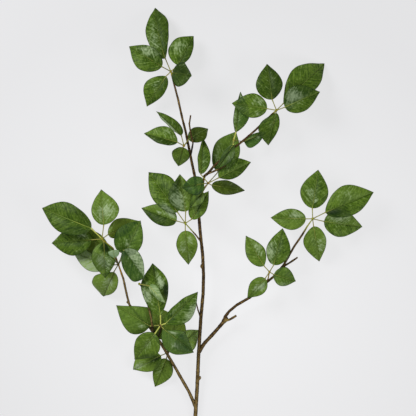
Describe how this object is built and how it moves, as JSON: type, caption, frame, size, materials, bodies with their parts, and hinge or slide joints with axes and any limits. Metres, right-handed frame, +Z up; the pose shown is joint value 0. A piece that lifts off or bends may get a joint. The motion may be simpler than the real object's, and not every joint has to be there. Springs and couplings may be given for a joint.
{
  "type": "schefflera leaf stem",
  "caption": "Cut schefflera stem lying flat: a forked woody twig whose side branches end in whorls of pointed oval green leaflets.",
  "frame": {"origin": "middle of the stem's whole box in X and Y, on the surface that it lies on", "axes": "+Y along the stem from its cut end to its top leaflet, +Z up from the surface, +X to the side of the long single side branch"},
  "size_m": [0.729, 1.0034, 0.1124],
  "materials": {
    "bark": "matte",
    "leaf": "satin"
  },
  "bodies": {
    "root": {"main_stem": "bark", "left_branch": "bark", "right_branch": "bark", "upper_branch": "bark", "centre_left_leaflet_1": "leaf", "centre_left_leaflet_2": "leaf", "centre_left_leaflet_3": "leaf", "centre_left_leaflet_4": "leaf", "centre_left_leaflet_5": "leaf", "centre_right_leaflet_1": "leaf", "centre_right_leaflet_2": "leaf", "centre_right_leaflet_3": "leaf", "centre_right_leaflet_4": "leaf", "centre_right_leaflet_5": "leaf", "centre_right_leaflet_6": "leaf", "crown_leaflet_1": "leaf", "crown_leaflet_2": "leaf", "crown_leaflet_3": "leaf", "crown_leaflet_4": "leaf", "crown_leaflet_5": "leaf", "far_left_leaflet_1": "leaf", "far_left_leaflet_2": "leaf", "far_left_leaflet_3": "leaf", "far_left_leaflet_4": "leaf", "far_left_leaflet_5": "leaf", "left_leaflet_1": "leaf", "left_leaflet_2": "leaf", "left_leaflet_3": "leaf", "left_leaflet_4": "leaf", "left_leaflet_5": "leaf", "low_centre_leaflet_1": "leaf", "low_centre_leaflet_2": "leaf", "low_centre_leaflet_3": "leaf", "lower_left_leaflet_1": "leaf", "lower_left_leaflet_2": "leaf", "lower_left_leaflet_3": "leaf", "lower_left_leaflet_4": "leaf", "lower_left_leaflet_5": "leaf", "right_end_leaflet_1": "leaf", "right_end_leaflet_2": "leaf", "right_end_leaflet_3": "leaf", "right_end_leaflet_4": "leaf", "right_end_leaflet_5": "leaf", "right_leaflet_1": "leaf", "right_leaflet_2": "leaf", "right_leaflet_3": "leaf", "right_leaflet_4": "leaf", "small_left_leaflet_1": "leaf", "upper_left_leaflet_1": "leaf", "upper_left_leaflet_2": "leaf", "upper_left_leaflet_3": "leaf", "upper_left_leaflet_4": "leaf", "upper_right_end_leaflet_1": "leaf", "upper_right_end_leaflet_2": "leaf", "upper_right_end_leaflet_3": "leaf", "upper_right_end_leaflet_4": "leaf", "upper_right_end_leaflet_5": "leaf", "upper_right_leaflet_1": "leaf", "upper_right_leaflet_2": "leaf", "upper_right_leaflet_3": "leaf"}
  },
  "joints": []
}
